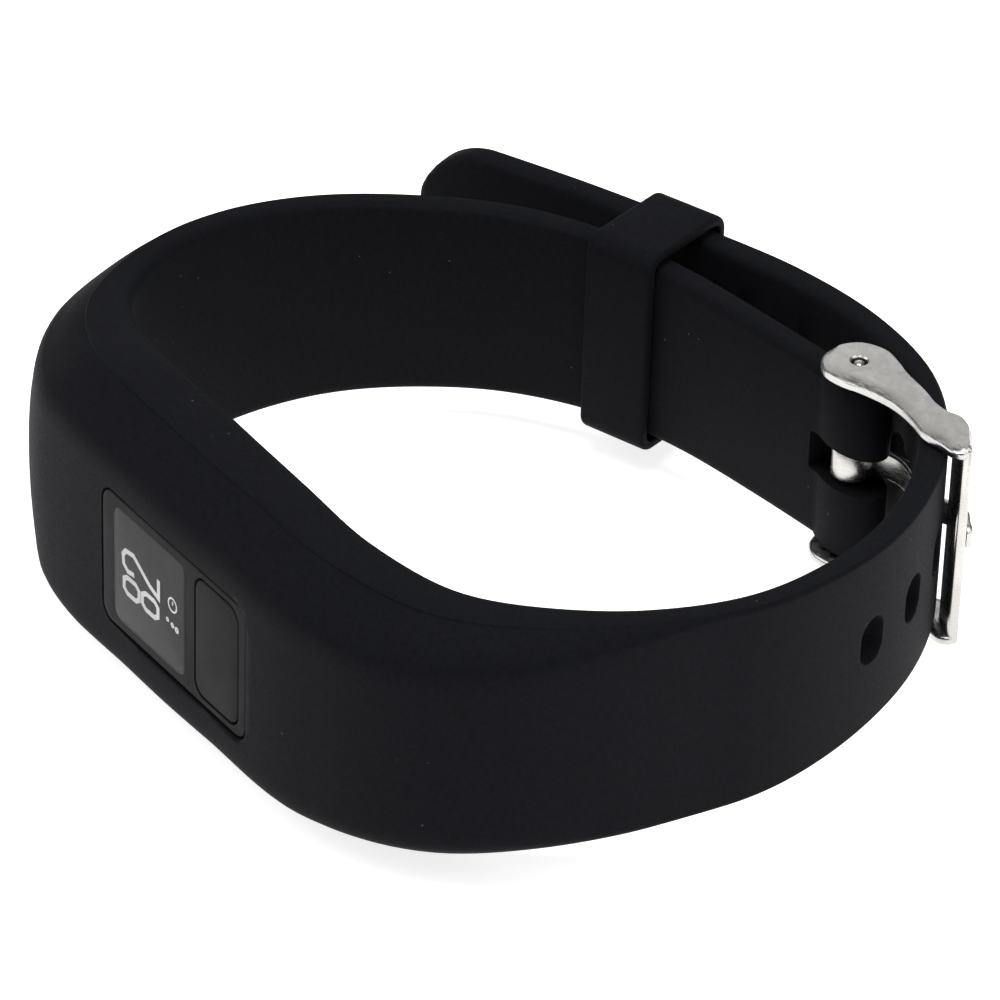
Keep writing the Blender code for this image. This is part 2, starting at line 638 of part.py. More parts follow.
def make_power():
    back = CELL_FRONT + CELL_HEIGHT
    middle = sum(CELL_X) / 2
    half_length = (CELL_X[1] - CELL_X[0]) / 2 + CELL_RADIUS + 0.35
    holder = plate((half_length, 6.5), *CARRIER_DEPTHS, 1.5, (middle, 0))
    carrier = clear_of_bosses(object_from(holder, "battery_carrier", MODULE_PLASTIC))
    for number, x in enumerate(CELL_X, 1):
        cell = round_bar(CELL_RADIUS, CELL_FRONT, back, 40, "Y", (x, 0))
        edges = [edge for edge in cell.edges if edge.calc_face_angle(0) > 1.0]
        bmesh.ops.bevel(cell, geom=edges, offset=0.35, segments=1, affect="EDGES")
        object_from(cell, f"battery_{number}", CELL)
        well = round_bar(CELL_RADIUS + 0.18, 2, 10, 40, "Y", (x, 0))
        combine(carrier, object_from(well, f"cell_well_{number}"))
        terminal = plate((3.0, 1.2), *TERMINAL_DEPTHS, 0.4, (x, 0))
        object_from(terminal, f"battery_terminal_{number}", BRASS)
    bridge = plate((8.2, 1.6), back + 0.03, back + 0.12, 0.5, (middle, 0))
    object_from(bridge, "battery_bridge", BRASS)


def make_back():
    gasket = object_from(plate((15.35, 7.75), *COVER_GASKET_DEPTHS, 2.0), "cover_gasket", SILICONE)
    combine(gasket, object_from(plate((14.5, 6.9), 6, 10, 2.9), "gasket_cut"))
    cover = object_from(plate(MODULE_HALF, *COVER_DEPTHS, MODULE_CORNER), "back_cover", STEEL)
    for number, place in enumerate(SCREW_PLACES, 1):
        through_gasket = round_bar(SCREW_RADIUS + 0.25, 6, 10, 16, "Y", place)
        combine(gasket, object_from(through_gasket, f"gasket_hole_{number}"))
        through_cover = round_bar(SCREW_HEAD_RADIUS + 0.1, 6, 10, 20, "Y", place)
        combine(cover, object_from(through_cover, f"cover_hole_{number}"))
        shank = round_bar(SCREW_RADIUS, *SCREW_DEPTHS, 12, "Y", place)
        screw = object_from(shank, f"cover_screw_{number}", STEEL)
        head = round_bar(SCREW_HEAD_RADIUS, *SCREW_HEAD_DEPTHS, 20, "Y", place)
        combine(screw, object_from(head, f"screw_head_{number}"), "UNION")


def place_at_origin():
    """Moves the part so that its origin is the bottom middle of its bounding box."""
    bpy.context.view_layer.update()
    graph = bpy.context.evaluated_depsgraph_get()
    corners = []
    for obj in PARTS.objects:
        if obj.type == "MESH":
            seen = obj.evaluated_get(graph)
            corners += [seen.matrix_world @ Vector(corner) for corner in seen.bound_box]
    low = [min(corner[k] for corner in corners) for k in range(3)]
    high = [max(corner[k] for corner in corners) for k in range(3)]
    placement.location = (-(low[0] + high[0]) / 2, -(low[1] + high[1]) / 2, -low[2])
    bpy.context.view_layer.update()


make_band()
make_keeper()
make_buckle_frame()
make_tongue()
make_spring_bar()
make_shell()
make_display()
make_button()
make_board()
make_power()
make_back()
place_at_origin()
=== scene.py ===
"""Looks of the fitness tracker band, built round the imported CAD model.

Shapes are drawn in millimetres in the same plan as the CAD: X runs along the module's face, Y from
the face into the ring and Z is the width of the band, from the middle of the module's window.
ORIGIN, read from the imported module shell, is where that zero lies in the frame, in metres.
"""

import math

import bmesh
import bpy
import numpy as np
from mathutils import Matrix, Vector


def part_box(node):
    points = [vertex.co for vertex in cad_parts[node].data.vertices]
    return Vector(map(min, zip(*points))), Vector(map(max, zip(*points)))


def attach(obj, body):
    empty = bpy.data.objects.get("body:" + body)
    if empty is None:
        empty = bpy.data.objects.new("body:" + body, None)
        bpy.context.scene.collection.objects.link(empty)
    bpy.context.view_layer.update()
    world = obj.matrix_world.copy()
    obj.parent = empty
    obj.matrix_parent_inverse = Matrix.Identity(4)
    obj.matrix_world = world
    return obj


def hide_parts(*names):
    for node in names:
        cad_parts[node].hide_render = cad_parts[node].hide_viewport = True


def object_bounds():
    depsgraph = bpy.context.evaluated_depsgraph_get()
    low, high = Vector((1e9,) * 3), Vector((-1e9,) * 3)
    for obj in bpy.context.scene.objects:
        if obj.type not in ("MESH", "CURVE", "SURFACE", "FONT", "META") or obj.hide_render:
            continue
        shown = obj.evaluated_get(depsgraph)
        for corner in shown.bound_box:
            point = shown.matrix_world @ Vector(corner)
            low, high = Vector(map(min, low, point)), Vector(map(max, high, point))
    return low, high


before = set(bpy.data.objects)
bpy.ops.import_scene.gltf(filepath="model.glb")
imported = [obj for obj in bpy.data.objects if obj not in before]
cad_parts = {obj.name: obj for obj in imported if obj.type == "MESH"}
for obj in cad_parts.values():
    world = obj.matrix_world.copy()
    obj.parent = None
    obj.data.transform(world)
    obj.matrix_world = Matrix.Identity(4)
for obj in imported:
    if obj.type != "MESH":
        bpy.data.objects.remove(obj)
cad_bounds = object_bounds()

MM = 0.001
SHELL_LOW, SHELL_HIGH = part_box("module_shell")
ORIGIN = Vector(((SHELL_LOW.x + SHELL_HIGH.x) / 2, SHELL_LOW.y, (SHELL_LOW.z + SHELL_HIGH.z) / 2))

# The band's sizes. They are the CAD's, except that LOWER_KEYS from 6 to 25 and LIFT_KEYS at 48 and 58
# are up to 0.22 mm smaller, which brings the lower edge to the photo's outline
STRAP_THICKNESS = 2.25
STRAP_HALF_WIDTH = 7.65
POCKET_THICKNESS = 8.6
POCKET_RIM = 4.3
POCKET_BEVEL = 3.0
POCKET_CROWN = 1.15
CROWN_AT = -26.0
CROWN_REACH = 7.0
EDGE_CHAMFER = 0.3
TAIL_RADIUS = 6.6
TAIL_END_HALF_WIDTH = 1.2
# Finer than the CAD: rounded inner edges, the parting line under the bevel and a soft tail end
INNER_ROUNDING = 0.95
LINE_DEPTH = 0.17
STATION_PITCH = 0.7
TIP_PILLOW = 1.1
TIP_SQUEEZE = 0.35
# Inner surface of the band in plan, from the buckle's loop round the wrist to the tail
INNER_ROUTE = (
    (10.4, 54.5), (0.2, 53.5), (-9.4, 52.0), (-17.5, 49.5), (-23.8, 45.2),
    (-28.4, 39.2), (-31.3, 32.5), (-32.3, 25.0), (-31.0, 18.0), (-26.6, 12.6),
    (-19.4, 9.55), (-6.5, 8.55), (4.0, 8.5), (15.0, 8.8), (22.2, 11.3), (28.7, 18.9),
    (31.2, 28.0), (29.9, 37.5), (25.5, 47.3), (17.95, 55.5), (11.05, 59.25),
    (3.5, 60.5), (-5.5, 59.6), (-13.0, 57.35), (-22.5, 53.95), (-38.7, 46.9),
)
# Half width, height of the middle, filling of the lower face and of the inner face, each against
# the distance along the band from the middle of the module
WIDTH_KEYS = (
    (-101, 7.65), (-80, 7.8), (-67, 8.3), (-53, 8.8), (-43, 9.4), (-31, 10.1), (-22, 10.65),
    (-14, 11.1), (0, 11.1), (14, 11.1), (28, 9.65), (38, 8.85), (45, 8.45), (51, 8.15), (57, 7.85),
    (66, 7.75), (80, 7.7), (140, 7.9),
)
LIFT_KEYS = (
    (-101, 0.0), (-90, 0.0), (-78, 0.15), (-60, 0.27), (-48, 0.45), (-39, 0.2), (-31, -0.5),
    (-22, -0.25), (-16, 0.0), (-11, 0.0), (8, 0.0), (13, 0.0), (20, 0.25), (28, 0.95), (36, 1.1),
    (48, 0.65), (58, 0.4), (66, 0.22), (76, 0.2), (92, 0.15), (140, 0.2),
)
LOWER_KEYS = (
    (-101, 0.0), (-60, 0.0), (-34, 0.0), (-24, 0.8), (-16, 1.4), (-12, 1.2), (-6, 0.95), (0, 0.83),
    (6, 0.6), (12, 0.35), (18, 0.12), (25, 0.0), (32, 0.0), (40, 0.0), (60, 0.0), (140, 0.0),
)
INNER_KEYS = (
    (-101, 0.0), (-60, 0.0), (-32, 0.0), (-24, 0.2), (-17, 0.55), (-8, 0.65), (-1, 0.55), (5, 0.35),
    (12, 0.2), (18, 0.0), (40, 0.0), (140, 0.0),
)
SWELL_BUCKLE_SIDE = (38.0, 18.0)
SWELL_TAIL_SIDE = (42.0, 17.0)
FIRST_HOLE = 55.6
HOLE_PITCH = 6.5
HOLE_COUNT = 8
PINNED_HOLE = 3
HOLE_HALF = (1.5, 1.9)
HOLE_CORNER = 1.3
# The lip of a moulded opening, as (height over the surface, how far the cutter stands in) levels
SOFT_LIP = ((-0.3, 0.0), (-0.12, -0.02), (-0.03, -0.07), (0.03, -0.15), (0.25, -0.45))

# Buckle, spring bar and keeper, as in the CAD
BAR_AXIS = Vector((9.35, 56.1))
LOOP_SEMI_AXES = (3.6, 2.2)
NOTCH_HEIGHT = 3.4
NOTCH_ENDS = (-3.0, 3.9)
NOTCH_FACES = (-2.57, 2.23)
TUBE_RADIUS = 0.85
TUBE_BORE = 0.62
TUBE_HALF = 6.3
FRAME_SHEET = 0.9
FRAME_INNER_HALF = 8.05
EAR_HOLE = 0.65
FRONT_BAR_MIDDLE = Vector((22.35, 56.2))
FRONT_BAR_ANGLE = math.radians(153.0)
FRONT_BAR_WIDTH = 3.5
TONGUE_WIDTH = 2.6
TONGUE_THICKNESS = 0.7
TONGUE_WRAP = 1.65
TONGUE_BORE = 0.97
TONGUE_TAPER = 0.25
TONGUE_BLUNT = 0.7
TONGUE_REST_GAP = 0.12
TONGUE_TIP = 0.6
TONGUE_PASSAGE_GAP = 0.6
KEEPER_MIDDLE = Vector((-15.4, 54.5))
KEEPER_ANGLE = math.radians(18.5)
KEEPER_LENGTH = 6.3
KEEPER_OPENING = (8.8, 16.7)
KEEPER_WALL = 0.8
KEEPER_LIFT = 0.2

# Module, as in the CAD, with depths from its face
MODULE_HALF = (15.6, 8.0)
MODULE_CORNER = 2.2
MODULE_WALL = 0.9
POCKET_LIP = 0.6
POCKET_GAP = 0.3
SHELL_DEPTHS = (0.9, 7.95)
TRAY_FLOOR = 1.7
POST_RADIUS = 1.35
POST_BORE = 0.5
BOSS_HALF = (10.0, 5.72)
BOSS_DEPTH = 1.4
BOSS_CORNER = 1.2
FACE_FILL = 0.13
OPENING_GAP = 0.15
LENS_HALF = 5.0
LENS_DEPTH = 0.75
LENS_X = -3.36
BUTTON_HALF = (2.95, 5.15)
BUTTON_DEPTH = 2.0
BUTTON_FLANGE_DEPTHS = (1.8, 2.05)
BUTTON_X = 6.1
COVER_DEPTHS = (8.23, 8.65)
SCREW_PLACES = [(x, z) for x in (-13.85, 13.85) for z in (-6.2, 6.2)]

CORNER_SAMPLES = 4
ROUTE_SAMPLES = 4000
SHARP_ANGLE = math.radians(38)
# How far a cutter runs past what it cuts
THROUGH = 14.0


# ---------------------------------------------------------------- finishes


class Finish:
    """A material whose patterns read the piece's own coordinates, in metres."""

    def __init__(self, name, **fixed):
        self.material = bpy.data.materials.new(name)
        self.material.use_nodes = True
        self.nodes = self.material.node_tree.nodes
        self.links = self.material.node_tree.links
        self.shader = self.nodes["Principled BSDF"]
        self.coordinates = self.nodes.new("ShaderNodeTexCoord").outputs["Object"]
        for socket, value in fixed.items():
            self.shader.inputs[socket.replace("_", " ")].default_value = value

    def place(self, stretch):
        mapping = self.nodes.new("ShaderNodeMapping")
        mapping.inputs["Scale"].default_value = stretch
        self.links.new(self.coordinates, mapping.inputs["Vector"])
        return mapping.outputs["Vector"]

    def noise(self, scale, detail=2.0, stretch=(1, 1, 1)):
        node = self.nodes.new("ShaderNodeTexNoise")
        node.inputs["Scale"].default_value = scale
        node.inputs["Detail"].default_value = detail
        self.links.new(self.place(stretch), node.inputs["Vector"])
        return node.outputs["Fac"]

    def cells(self, scale, stretch=(1, 1, 1), feature="F1"):
        """The distance to the nearest of many scattered points, in cell widths."""
        node = self.nodes.new("ShaderNodeTexVoronoi")
        node.feature = feature
        node.inputs["Scale"].default_value = scale
        self.links.new(self.place(stretch), node.inputs["Vector"])
        return node.outputs["Distance"]

    def spread(self, value, low, high, start=0.35, end=0.65):
        """low where the value is at start, high where it is at end, and smooth between."""
        node = self.nodes.new("ShaderNodeMapRange")
        node.interpolation_type = "SMOOTHSTEP"
        self.links.new(value, node.inputs["Value"])
        for socket, number in (("From Min", start), ("From Max", end), ("To Min", low), ("To Max", high)):
            node.inputs[socket].default_value = number
        return node.outputs["Result"]

    def times(self, first, second):
        node = self.nodes.new("ShaderNodeMath")
        node.operation = "MULTIPLY"
        self.links.new(first, node.inputs[0])
        self.links.new(second, node.inputs[1])
        return node.outputs["Value"]

    def mix(self, factor, first, second):
        """A colour between two others, each a socket or an (r, g, b)."""
        node = self.nodes.new("ShaderNodeMix")
        node.data_type = "RGBA"
        sockets = [s for s in node.inputs if s.type == "RGBA"]
        self.links.new(factor, next(s for s in node.inputs if s.name == "Factor" and s.type == "VALUE"))
        for socket, colour in zip(sockets, (first, second)):
            if isinstance(colour, tuple):
                socket.default_value = (*colour, 1.0)
            else:
                self.links.new(colour, socket)
        return next(s for s in node.outputs if s.type == "RGBA")

    def finish(self, colour, roughness, relief, height):
        """Links the colour, the roughness and the relief, whose full height is in metres."""
        self.links.new(colour, self.shader.inputs["Base Color"])
        self.links.new(roughness, self.shader.inputs["Roughness"])
        bump = self.nodes.new("ShaderNodeBump")
        bump.inputs["Distance"].default_value = height
        self.links.new(relief, bump.inputs["Height"])
        self.links.new(bump.outputs["Normal"], self.shader.inputs["Normal"])
        return self.material


def silicone_finish(name, dark, light):
    """Matt moulded silicone with a fine grain, faint clouding and a little dust."""
    look = Finish(name, Specular_IOR_Level=0.02, Sheen_Weight=0.015, Sheen_Roughness=0.5)
    tone = look.mix(look.spread(look.noise(3000, 3.0), 0, 1), dark, light)
    dust = look.times(
        look.spread(look.cells(800), 1, 0, 0.035, 0.075), look.spread(look.noise(160), 0, 1, 0.58, 0.62)
    )
    colour = look.mix(dust, tone, (0.07, 0.07, 0.075))
    roughness = look.spread(look.noise(5000), 0.54, 0.64)
    return look.finish(colour, roughness, look.noise(9000, 3.0), 0.000012)


def metal_finish(name, dark, light, rough=(0.22, 0.36), stretch=(1, 1, 14)):
    """Satin metal, brushed along the two axes that aren't stretched."""
    look = Finish(name, Metallic=1.0)
    brushing = look.noise(1300, 3.0, stretch)
    tone = look.mix(look.spread(look.noise(220, 2.0), 0, 1), dark, light)
    return look.finish(tone, look.spread(brushing, *rough), brushing, 0.0000025)


def moulded_finish(name, dark, light, rough=(0.38, 0.5), level=0.3):
    """Moulded plastic with a spark-eroded grain."""
    look = Finish(name, Specular_IOR_Level=level)
    tone = look.mix(look.spread(look.noise(300, 3.0), 0, 1), dark, light)
    texture = look.noise(8000, 3.0)
    return look.finish(tone, look.spread(texture, *rough), texture, 0.000008)


def board_finish():
    """Green solder mask over copper tracks."""
    look = Finish("circuit_board", Specular_IOR_Level=0.5)
    tracks = look.spread(look.cells(900, feature="DISTANCE_TO_EDGE"), 1, 0, 0.04, 0.09)
    colour = look.mix(tracks, (0.008, 0.07, 0.025), (0.03, 0.16, 0.06))
    return look.finish(colour, look.spread(look.noise(2000), 0.25, 0.4), tracks, 0.00002)


def foam_finish():
    look = Finish("gasket_foam", Specular_IOR_Level=0.1)
    pores = look.cells(6000)
    colour = look.mix(look.spread(pores, 0, 1, 0.1, 0.6), (0.006, 0.006, 0.006), (0.025, 0.025, 0.027))
    return look.finish(colour, look.spread(pores, 0.9, 0.75, 0.1, 0.6), pores, 0.00006)


def window_finish():
    """The display window: smoke grey that darkens softly towards its edge, where it is inked."""
    look = Finish("display_window_inked", Specular_IOR_Level=0.03)
    shift = look.nodes.new("ShaderNodeVectorMath")
    shift.operation = "SUBTRACT"
    shift.inputs[1].default_value = ORIGIN + Vector((LENS_X, 0, 0)) * MM
    look.links.new(look.coordinates, shift.inputs[0])
    size = look.nodes.new("ShaderNodeVectorMath")
    size.operation = "ABSOLUTE"
    look.links.new(shift.outputs[0], size.inputs[0])
    parts = look.nodes.new("ShaderNodeSeparateXYZ")
    look.links.new(size.outputs[0], parts.inputs[0])
    edge = LENS_HALF * MM
    fades = [look.spread(parts.outputs[axis], 1, 0, edge * 0.95, edge * 1.01) for axis in ("X", "Z")]
    lit = look.times(*fades)
    grain = look.noise(500, 4.0)
    tone = look.mix(look.spread(grain, 0, 1), (0.043, 0.043, 0.0426), (0.047, 0.047, 0.0466))
    colour = look.mix(lit, (0.016, 0.016, 0.0164), tone)
    return look.finish(colour, look.spread(grain, 0.2, 0.3), look.noise(9000, 3.0), 0.000003)


FINISHES = {
    "silicone": silicone_finish("black_silicone", (0.0058, 0.0061, 0.0079), (0.0072, 0.0076, 0.0097)),
    "steel": metal_finish("satin_steel", (0.48, 0.465, 0.443), (0.565, 0.55, 0.527)),
    "module_plastic": moulded_finish(
        "module_plastic", (0.014, 0.014, 0.0144), (0.018, 0.018, 0.0184), level=0.02
    ),
    "display_window": window_finish(),
    "lcd_glass": moulded_finish("lcd_glass", (0.16, 0.18, 0.15), (0.2, 0.22, 0.19), (0.1, 0.2), 0.5),
    "gasket_foam": foam_finish(),
    "circuit_board": board_finish(),
    "chip_plastic": moulded_finish("chip_plastic", (0.012, 0.012, 0.012), (0.022, 0.022, 0.023)),
    "cell_steel": metal_finish(
        "cell_steel", (0.62, 0.62, 0.61), (0.74, 0.74, 0.73), (0.2, 0.34), (9, 1, 1)
    ),
    "contact_brass": metal_finish("contact_brass", (0.62, 0.45, 0.2), (0.76, 0.6, 0.32)),
}
DIGIT_INK = moulded_finish("segment_white", (0.42, 0.43, 0.42), (0.5, 0.51, 0.5), (0.4, 0.5))


# ---------------------------------------------------------------- shape helpers


def object_from(shape, name):
    """An object in the frame, in metres, from a bmesh drawn in millimetres."""
    bmesh.ops.recalc_face_normals(shape, faces=shape.faces)
    for vertex in shape.verts:
        vertex.co = ORIGIN + vertex.co * MM
    mesh = bpy.data.meshes.new(name)
    shape.to_mesh(mesh)
    shape.free()
    obj = bpy.data.objects.new(name, mesh)
    bpy.context.scene.collection.objects.link(obj)
    return obj


def combine(target, tools, operation="DIFFERENCE"):
    """Cuts the tools from the target, or joins them to it, and removes them."""
    for tool in tools:
        modifier = target.modifiers.new(tool.name, "BOOLEAN")
        modifier.operation = operation
        modifier.object = tool
    graph = bpy.context.evaluated_depsgraph_get()
    target.data = bpy.data.meshes.new_from_object(target.evaluated_get(graph))
    target.modifiers.clear()
    for tool in tools:
        bpy.data.objects.remove(tool, do_unlink=True)
    return target


def complete(obj, body, slot, stands_for=(), material=None):
    """Shades a finished piece, gives it its finish and fixes it to its body."""
    obj.data.shade_smooth()
    obj.data.set_sharp_from_angle(angle=SHARP_ANGLE)
    obj.data.materials.clear()
    obj.data.materials.append(material or FINISHES[slot])
    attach(obj, body)
    if stands_for:
        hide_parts(*stands_for)
    return obj


def loft(rings, closed=False):
    """A skin through rings of points, capped at both ends unless it closes on itself."""
    shape = bmesh.new()
    loops = [[shape.verts.new(point) for point in ring] for ring in rings]
    pairs = list(zip(loops, loops[1:])) + ([(loops[-1], loops[0])] if closed else [])
    for ring, following in pairs:
        for k in range(len(ring)):
            after = (k + 1) % len(ring)
            shape.faces.new((ring[k], ring[after], following[after], following[k]))
    if not closed:
        shape.faces.new(loops[0])
        shape.faces.new(reversed(loops[-1]))
    return shape


def rounded(corners, cuts, samples=CORNER_SAMPLES):
    """The closed outline through the corners, with each one cut back and rounded."""
    outline = []
    for k, corner in enumerate(corners):
        ends = []
        for other in (corners[k - 1], corners[(k + 1) % len(corners)]):
            side = other - corner
            ends.append(corner + side * min(cuts[k] / max(side.length, 1e-9), 0.48))
        for t in np.linspace(0, 1, samples):
            outline.append(ends[0] * (1 - t) ** 2 + corner * 2 * t * (1 - t) + ends[1] * t**2)
    return outline


def rounded_rectangle(half, corner, samples=7):
    """A rectangle with quarter-circle corners, as (x, z) points."""
    corner = min(corner, half[0] - 0.001, half[1] - 0.001)
    points = []
    for quarter, (x_side, z_side) in enumerate(((1, 1), (-1, 1), (-1, -1), (1, -1))):
        for angle in np.linspace(0, 90, samples):
            turn = math.radians(angle + 90 * quarter)
            x = x_side * (half[0] - corner) + corner * math.cos(turn)
            z = z_side * (half[1] - corner) + corner * math.sin(turn)
            points.append((x, z))
    return points


def plate(half, corner, levels, middle=(0.0, 0.0), samples=7):
    """A rounded rectangle in X and Z, lofted through (y, how far its edge stands in) levels."""
    rings = []
    for y, inset in levels:
        sides = (half[0] - inset, half[1] - inset)
        outline = rounded_rectangle(sides, max(corner - inset, 0.05), samples)
        rings.append([(middle[0] + x, y, middle[1] + z) for x, z in outline])
    return loft(rings)


def soft_levels(front, back, radius, at_back=True):
    """Levels for a plate whose front edge, and back edge if wanted, is a quarter round."""
    turns = [math.radians(a) for a in (0, 22, 45, 68, 90)]
    start = [(front + radius * (1 - math.sin(a)), radius * (1 - math.cos(a))) for a in reversed(turns)]
    if not at_back:
        return start + [(back, 0.0)]
    return start + [(back - radius * (1 - math.sin(a)), radius * (1 - math.cos(a))) for a in turns]


def lathe(profile, middle=(0.0, 0.0), axis="Z", segments=32):
    """A solid of revolution from (radius, height) points, about Z or Y."""
    rings = []
    for radius, height in profile:
        ring = []
        for k in range(segments):
            angle = 2 * math.pi * k / segments
            a, b = radius * math.cos(angle), radius * math.sin(angle)
            if axis == "Z":
                ring.append((middle[0] + a, middle[1] + b, height))
            else:
                ring.append((middle[0] + a, height, middle[1] + b))
        rings.append(ring)
    return loft(rings)


# ---------------------------------------------------------------- the band's route and section


def smooth(x, knots_x, knots_y):
    """A smooth curve through the knots, with the slope of the neighbouring knots at each one."""
    slopes = np.gradient(knots_y, knots_x)
    i = np.clip(np.searchsorted(knots_x, x) - 1, 0, len(knots_x) - 2)
    step = knots_x[i + 1] - knots_x[i]
    t = (x - knots_x[i]) / step
    rise = (2 * t**3 - 3 * t**2 + 1) * knots_y[i] + (3 * t**2 - 2 * t**3) * knots_y[i + 1]
    return rise + (t**3 - 2 * t**2 + t) * step * slopes[i] + (t**3 - t**2) * step * slopes[i + 1]


def smooth_line(corners, count):
    """Evenly spaced points of the smooth curve through the corners, and their distances along it."""
    corners = np.array([tuple(c) for c in corners], float)
    chords = np.concatenate([[0], np.cumsum(np.linalg.norm(np.diff(corners, axis=0), axis=1))])
    fine = np.linspace(0, chords[-1], count)
    points = np.stack([smooth(fine, chords, corners[:, k]) for k in (0, 1)], axis=1)
    steps = np.linalg.norm(np.diff(points, axis=0), axis=1)
    return points, np.concatenate([[0], np.cumsum(steps)])


class Route:
    """The inner surface of the band in plan, measured along from the middle of the module."""

    def __init__(self, corners):
        self.points, self.along = smooth_line(corners, ROUTE_SAMPLES)
        by_module = np.abs(self.points[:, 0]) + 1000 * (self.points[:, 1] > 30)
        self.along -= self.along[np.argmin(by_module)]
        self.start, self.end = self.along[0], self.along[-1]

    def at(self, distance):
        """(point, unit direction, unit outward normal) at a distance along the band."""
        point, forward, back = (
            Vector([np.interp(d, self.along, self.points[:, k]) for k in (0, 1)])
            for d in (distance, distance + 0.2, distance - 0.2)
        )
        direction = (forward - back).normalized()
        return point, direction, Vector((direction.y, -direction.x))


ROUTE = Route(INNER_ROUTE)


def swell(distance):
    """0 on the plain strap, 1 at the module, with a smooth ramp between."""
    outer, inner = SWELL_BUCKLE_SIDE if distance < 0 else SWELL_TAIL_SIDE
    t = min(max((outer - abs(distance)) / (outer - inner), 0.0), 1.0)
    return t * t * (3 - 2 * t)


def read_keys(keys, distance):
    """The smooth curve through (distance, value) keys, kept under its highest key."""
    keys = np.array(keys, float)
    return min(float(smooth(np.array(distance), keys[:, 0], keys[:, 1])), keys[:, 1].max())


def bell(distance, middle, reach):
    """1 at the middle, fading to nothing over about twice the reach."""
    return math.exp(-(((distance - middle) / reach) ** 2))


def half_width(distance):
    width = read_keys(WIDTH_KEYS, distance)
    into_tip = max(distance - (ROUTE.end - TAIL_RADIUS), 0.0) / TAIL_RADIUS
    rounding = math.sqrt(max(1 - into_tip**2, 0.0))
    return TAIL_END_HALF_WIDTH + (width - TAIL_END_HALF_WIDTH) * rounding


def section(distance):
    """The band's cross-section as (outward, up) points, all the way round, with soft corners."""
    grown = swell(distance)
    half = half_width(distance)
    thickness = STRAP_THICKNESS + (POCKET_THICKNESS - STRAP_THICKNESS) * grown
    crease = STRAP_THICKNESS - EDGE_CHAMFER + (POCKET_RIM - STRAP_THICKNESS + EDGE_CHAMFER) * grown
    bevel = EDGE_CHAMFER + (POCKET_BEVEL - EDGE_CHAMFER) * grown
    face = half - bevel
    crown = POCKET_CROWN * bell(distance, CROWN_AT, CROWN_REACH)
    depth = thickness - crease
    inner = -read_keys(INNER_KEYS, distance)

    def side(fuller):
        """(outward, up, rounding) from beside the middle of the outer face to the inner edge."""
        return [
            (thickness + crown * 0.85, face * 0.55, 3.0),
            (thickness + crown * 0.3, face + fuller, 0.15 + 1.2 * grown),
            (thickness - depth * 0.27, face + bevel * 0.38 + fuller * 0.7, 0.1 + 0.9 * grown),
            (thickness - depth * 0.62, face + bevel * 0.72 + fuller * 0.3, 0.1 + 0.9 * grown),
            (crease + 0.16, half - 0.1 - 0.04 * grown, 0.05),
            (crease + 0.05, half - LINE_DEPTH * grown, 0.02),
            (crease - 0.05, half, 0.04),
            (inner, half, INNER_ROUNDING),
        ]

    lower = side(read_keys(LOWER_KEYS, distance))
    corners = [(thickness + crown, 0.0, 3.0)] + side(0.0)
    corners += [(outward, -up, cut) for outward, up, cut in reversed(lower)]
    outline = rounded([Vector(c[:2]) for c in corners], [c[2] for c in corners])
    into_end = max(distance - (ROUTE.end - TIP_PILLOW), 0.0) / TIP_PILLOW
    squeeze = TIP_SQUEEZE + (1 - TIP_SQUEEZE) * math.sqrt(max(1 - into_end**2, 0.0))
    middle = STRAP_THICKNESS / 2
    return [(middle + (p.x - middle) * squeeze, p.y) for p in outline]


def hole_frame(index):
    """(middle of the strap in plan, direction along it, height) at a pin hole."""
    distance = FIRST_HOLE + HOLE_PITCH * index
    point, direction, normal = ROUTE.at(distance)
    return point + normal * STRAP_THICKNESS / 2, direction, read_keys(LIFT_KEYS, distance)


# ---------------------------------------------------------------- band and keeper


def pin_hole(index):
    """A cutter for one hole, with a soft lip where it meets each face of the strap."""
    middle, direction, height = hole_frame(index)
    levels = [(STRAP_THICKNESS / 2 + y, inset) for y, inset in SOFT_LIP]
    levels = [(-y, inset) for y, inset in reversed(levels)] + levels
    shape = plate(HOLE_HALF, HOLE_CORNER, levels)
    turn = Matrix.Rotation(math.atan2(direction.y, direction.x), 3, "Z")
    bmesh.ops.rotate(shape, matrix=turn, verts=shape.verts)
    bmesh.ops.translate(shape, vec=(*middle, height), verts=shape.verts)
    return object_from(shape, f"pin_hole_{index + 1}")


def tongue_route():
    """The pin's centre line from the wrap, out through the strap's hole and over the front bar."""
    middle, _, _ = hole_frame(PINNED_HOLE)
    bar_along = Vector((math.cos(FRONT_BAR_ANGLE), math.sin(FRONT_BAR_ANGLE)))
    bar_out = Vector((bar_along.y, -bar_along.x))
    over = FRAME_SHEET / 2 + TONGUE_THICKNESS / 2 + TONGUE_REST_GAP
    return [
        BAR_AXIS + Vector((0.4, 1.31)),
        BAR_AXIS + Vector((3.2, 2.1)),
        middle + Vector((0.15, 0.05)),
        FRONT_BAR_MIDDLE + bar_along * 2.0 + bar_out * (over + TONGUE_REST_GAP),
        FRONT_BAR_MIDDLE + bar_along * 0.6 + bar_out * over,
        FRONT_BAR_MIDDLE - bar_along * TONGUE_TIP + bar_out * over,
    ]


